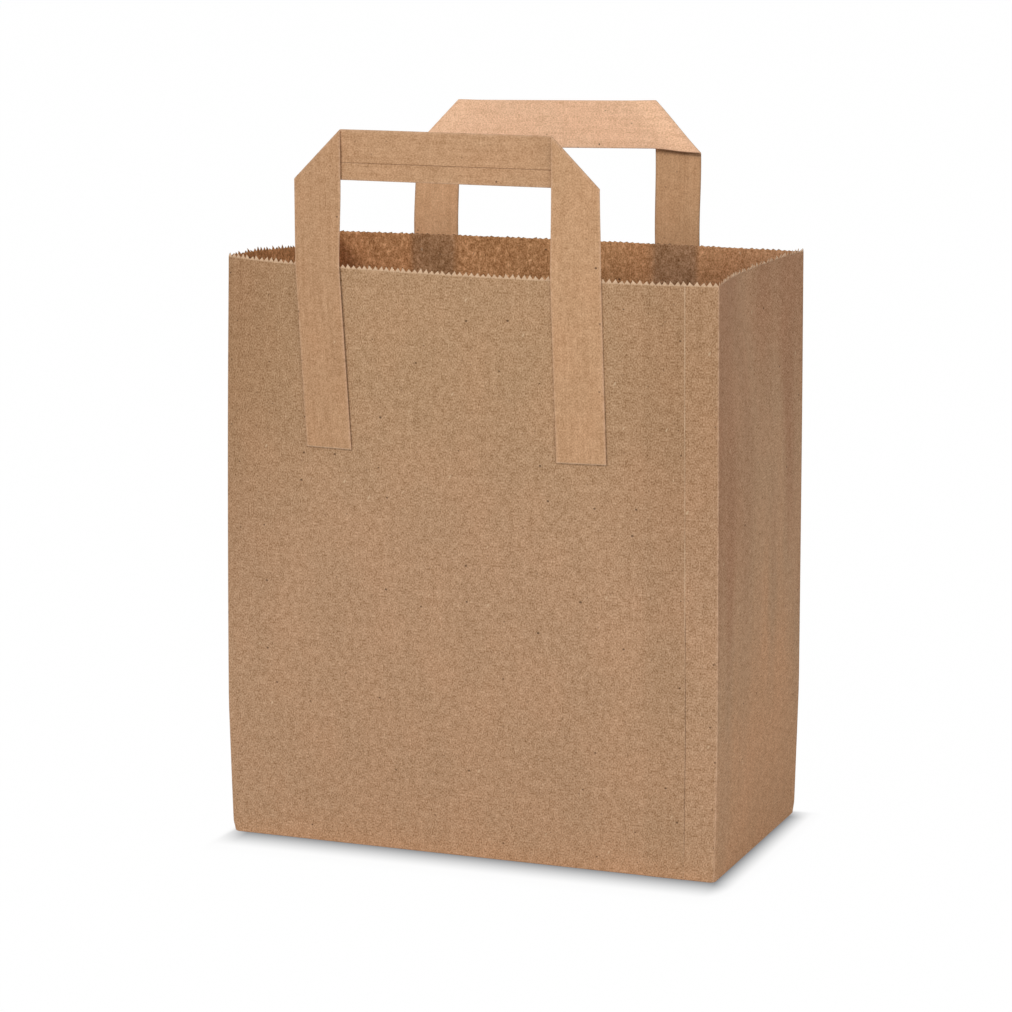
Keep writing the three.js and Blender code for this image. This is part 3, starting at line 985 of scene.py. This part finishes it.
def make_floor():
    """A white floor, whose contact shadow is painted where the camera sees it."""
    mesh = bpy.data.meshes.new("studio_floor")
    far = 30.0
    mesh.from_pydata([(-far, -far, 0), (far, -far, 0), (far, far, 0), (-far, far, 0)], [], [(0, 1, 2, 3)])
    floor = bpy.data.objects.new("studio_floor", mesh)
    bpy.context.scene.collection.objects.link(floor)
    n = Nodes("studio_white")
    n.shader.inputs["Base Color"].default_value = (0.86, 0.87, 0.88, 1)
    n.shader.inputs["Roughness"].default_value = 0.9
    n.shader.inputs["Specular IOR Level"].default_value = 0.0
    place = n.add("ShaderNodeNewGeometry").outputs["Position"]
    away = n.add("ShaderNodeSeparateXYZ", {"Vector": place})
    spans = []
    for axis, half, before, beyond in SHADOW_REACHES:
        past = n.math("SUBTRACT", n.math("ABSOLUTE", away.outputs[axis]), (half - BASE_INSET) * MM)
        reach = n.ramp(away.outputs[axis], -MM, MM, before * MM, beyond * MM)
        spans.append(n.math("DIVIDE", n.math("MAXIMUM", past, 0.0), reach))
    square = [n.math("MULTIPLY", span, span) for span in spans]
    far_off = n.math("SQRT", n.math("ADD", *square))
    contact = n.math("POWER", n.math("MAXIMUM", n.math("SUBTRACT", 1.0, far_off), 0.0), SHADOW_POWER)
    fade = n.ramp(away.outputs["Y"], (DEPTH / 2 - 9) * MM, (DEPTH / 2 + 1) * MM, 1.0, 0.2)
    contact = n.math("MULTIPLY", contact, fade)
    left_edge = -WIDTH / 2 * MM
    contact = n.math("MULTIPLY", contact, n.ramp(away.outputs["X"], left_edge - MM, left_edge + 8 * MM, 0.1, 1.0))
    seen_tint = n.mix(contact, (1, 1, 1, 1), colour(139, 142, 145))
    glow = n.add("ShaderNodeEmission", {"Color": seen_tint, "Strength": 1.0})
    seen = n.add("ShaderNodeLightPath").outputs["Is Camera Ray"]
    share = n.math("MULTIPLY", seen, n.ramp(far_off, 0, 1.5, 0.87, 0.996))
    blend = n.add("ShaderNodeMixShader", {0: share, 1: n.shader.outputs[0], 2: glow.outputs[0]})
    n.feed(n.tree.nodes["Material Output"].inputs["Surface"], blend.outputs[0])
    mesh.materials.append(n.material)
    return floor


def make_world():
    world = bpy.data.worlds.new("studio")
    bpy.context.scene.world = world
    world.use_nodes = True
    tree = world.node_tree
    background = tree.nodes["Background"]
    background.inputs["Color"].default_value = (1, 1, 1, 1)
    path = tree.nodes.new("ShaderNodeLightPath")
    seen = tree.nodes.new("ShaderNodeMath")
    seen.operation = "ADD"
    tree.links.new(path.outputs["Is Camera Ray"], seen.inputs[0])
    tree.links.new(path.outputs["Is Glossy Ray"], seen.inputs[1])
    seen_all = tree.nodes.new("ShaderNodeMath")
    seen_all.operation = "ADD"
    seen_all.use_clamp = True
    tree.links.new(seen.outputs[0], seen_all.inputs[0])
    tree.links.new(path.outputs["Is Transmission Ray"], seen_all.inputs[1])
    level = tree.nodes.new("ShaderNodeMapRange")
    level.inputs["To Min"].default_value = 0.46
    level.inputs["To Max"].default_value = 1.0
    tree.links.new(seen_all.outputs[0], level.inputs["Value"])
    tree.links.new(level.outputs[0], background.inputs["Strength"])


def make_lamp(name, place, aim, size, power):
    light = bpy.data.lights.new(name, "AREA")
    light.size = size
    light.energy = power
    lamp = bpy.data.objects.new(name, light)
    lamp.location = place
    lamp.rotation_euler = (Vector(aim) - Vector(place)).to_track_quat("-Z", "Y").to_euler()
    bpy.context.scene.collection.objects.link(lamp)


def make_camera():
    azimuth, elevation = math.radians(AZIMUTH), math.radians(ELEVATION)
    back = Vector(
        (math.sin(azimuth) * math.cos(elevation), -math.cos(azimuth) * math.cos(elevation), math.sin(elevation))
    )
    right = (-back).cross(Vector((0, 0, 1))).normalized()
    up = right.cross(-back)
    turn = math.radians(ROLL)
    side = math.cos(turn) * right + math.sin(turn) * up
    top = -math.sin(turn) * right + math.cos(turn) * up
    target = Vector((0, 0, AIM_HEIGHT)) + side * AIM_SIDE
    data = bpy.data.cameras.new("camera")
    data.lens = FOCAL_LENGTH
    data.sensor_width = SENSOR
    data.clip_end = 100
    camera = bpy.data.objects.new("camera", data)
    matrix = np.eye(4)
    matrix[:3, 0], matrix[:3, 1], matrix[:3, 2] = side, top, back
    matrix[:3, 3] = (target + back * DISTANCE) * MM
    camera.matrix_world = Matrix(matrix.tolist())
    bpy.context.scene.collection.objects.link(camera)
    bpy.context.scene.camera = camera


make_camera()
make_floor()
make_world()
make_lamp("key", (-0.9, -2.3, 1.75), (0, 0, 0.14), 0.9, 34)
make_lamp("fill", (1.8, -1.0, 0.55), (0, 0, 0.1), 1.2, 11)
bpy.context.scene.view_settings.view_transform = "Standard"

sheet_paper = kraft(
    "kraft_sheet",
    colour(178, 142, 110),
    rough=0.85,
    grain=1.15,
    mottled=0.9,
    cloud=0.12,
    streak=0.1,
    streak_scale=300,
    specks=1.0,
    rub_and_highlight=0.8,
    # The painted light and the painted shade.
    lit=(1.12, 1.05, 1.0),
    shaded=(0.85, 0.77, 0.75),
    inner=(1.18, 1.0, 0.77),
)
front_paper = kraft(
    "kraft_tape_front",
    colour(187, 147, 111),
    rough=0.8,
    grain=0.75,
    mottled=0.65,
    cloud=0.06,
    streak=0.4,
    streak_scale=650,
    specks=0.3,
    rub_and_highlight=0.8,
    # Painted light on the right leg and painted shade on the left leg.
    lit=(1.07, 1.07, 1.06),
    shaded=(0.95, 0.94, 0.93),
    inner=(1, 1, 1),
)
# The back handle is the same tape as the front one, given a paler base colour, painted light on its bar and painted
# shade on its right leg.
back_paper = kraft(
    "kraft_tape_back",
    colour(208, 163, 123),
    rough=0.8,
    grain=0.6,
    mottled=0.5,
    cloud=0.05,
    streak=0.35,
    streak_scale=650,
    specks=0.3,
    rub_and_highlight=0.8,
    lit=(1.4, 1.52, 1.78),
    shaded=(0.885, 0.895, 0.885),
    inner=(1, 1, 1),
)

body = make_bag_body(sheet_paper)
front = make_handle("front_tape", FRONT_TAPE, front_wall, front_paper, 1)
back = make_handle("back_tape", BACK_TAPE, back_wall, back_paper, 2)

for piece, node, slot in (
    (body, "bag_body", "kraft_sheet"),
    (front, "front_handle", "kraft_tape"),
    (back, "back_handle", "kraft_tape"),
):
    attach(piece, "root")
    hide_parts(node)
